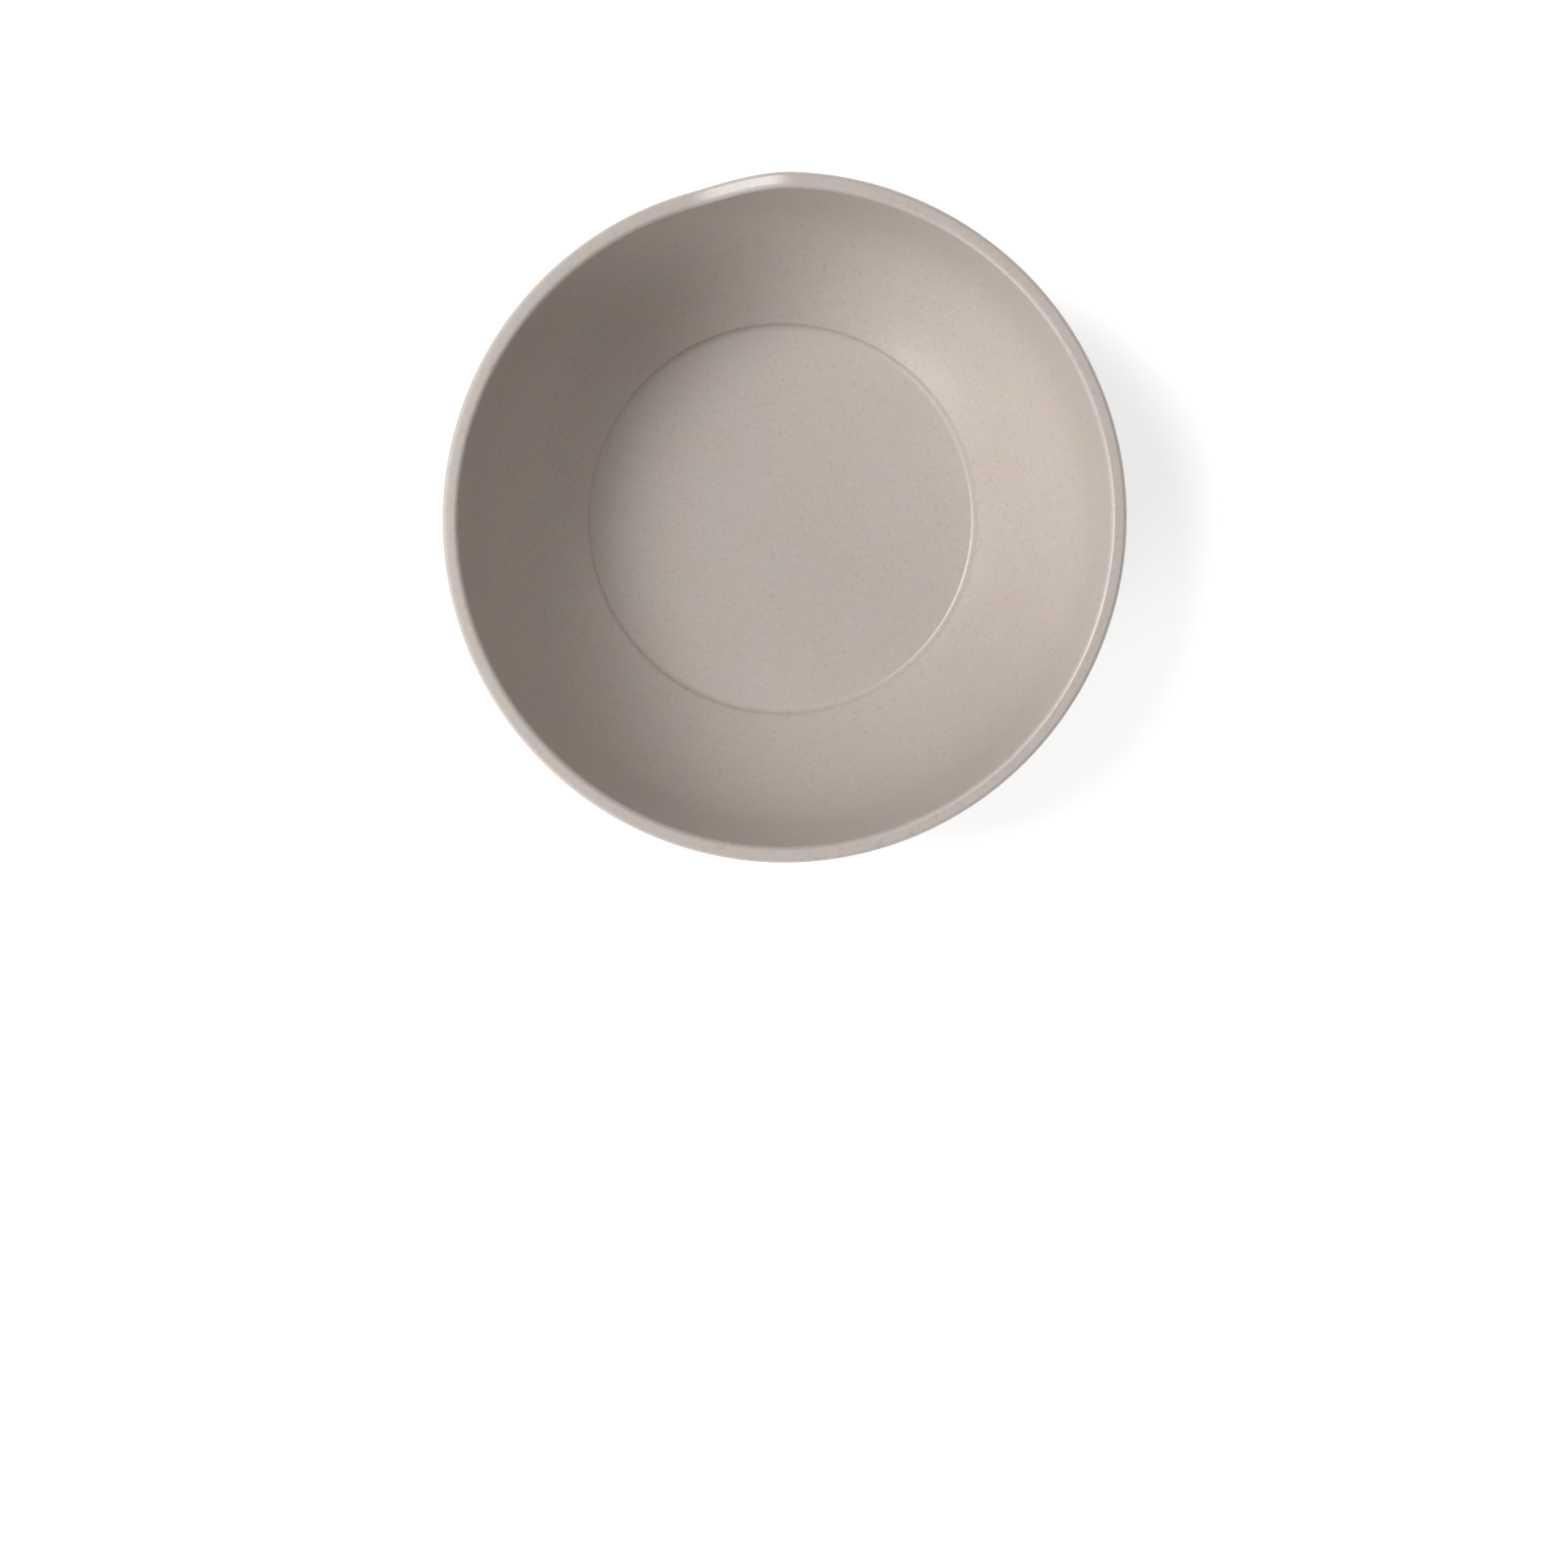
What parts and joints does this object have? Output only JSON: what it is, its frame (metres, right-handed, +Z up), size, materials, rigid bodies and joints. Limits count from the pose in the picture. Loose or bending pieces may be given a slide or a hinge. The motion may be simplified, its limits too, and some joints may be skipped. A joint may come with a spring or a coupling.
{
  "type": "bowl",
  "caption": "Thin-walled round bowl on a low foot ring, with a flat sunken well and an eased, bevelled rim that steps down at the front and rises again round one side.",
  "frame": {"origin": "centre of the foot ring on the plane that the bowl stands on, on the bowl's own axis", "axes": "+Z up along the bowl's axis; -Y towards the step in the rim, with the high lip on its -X side; +X to the right of a person facing the step"},
  "size_m": [0.1596, 0.159, 0.0593],
  "materials": {
    "moulded_melamine": "matte warm grey with a fine stone-like speckle"
  },
  "bodies": {
    "root": {"bowl": "moulded_melamine"}
  },
  "joints": []
}
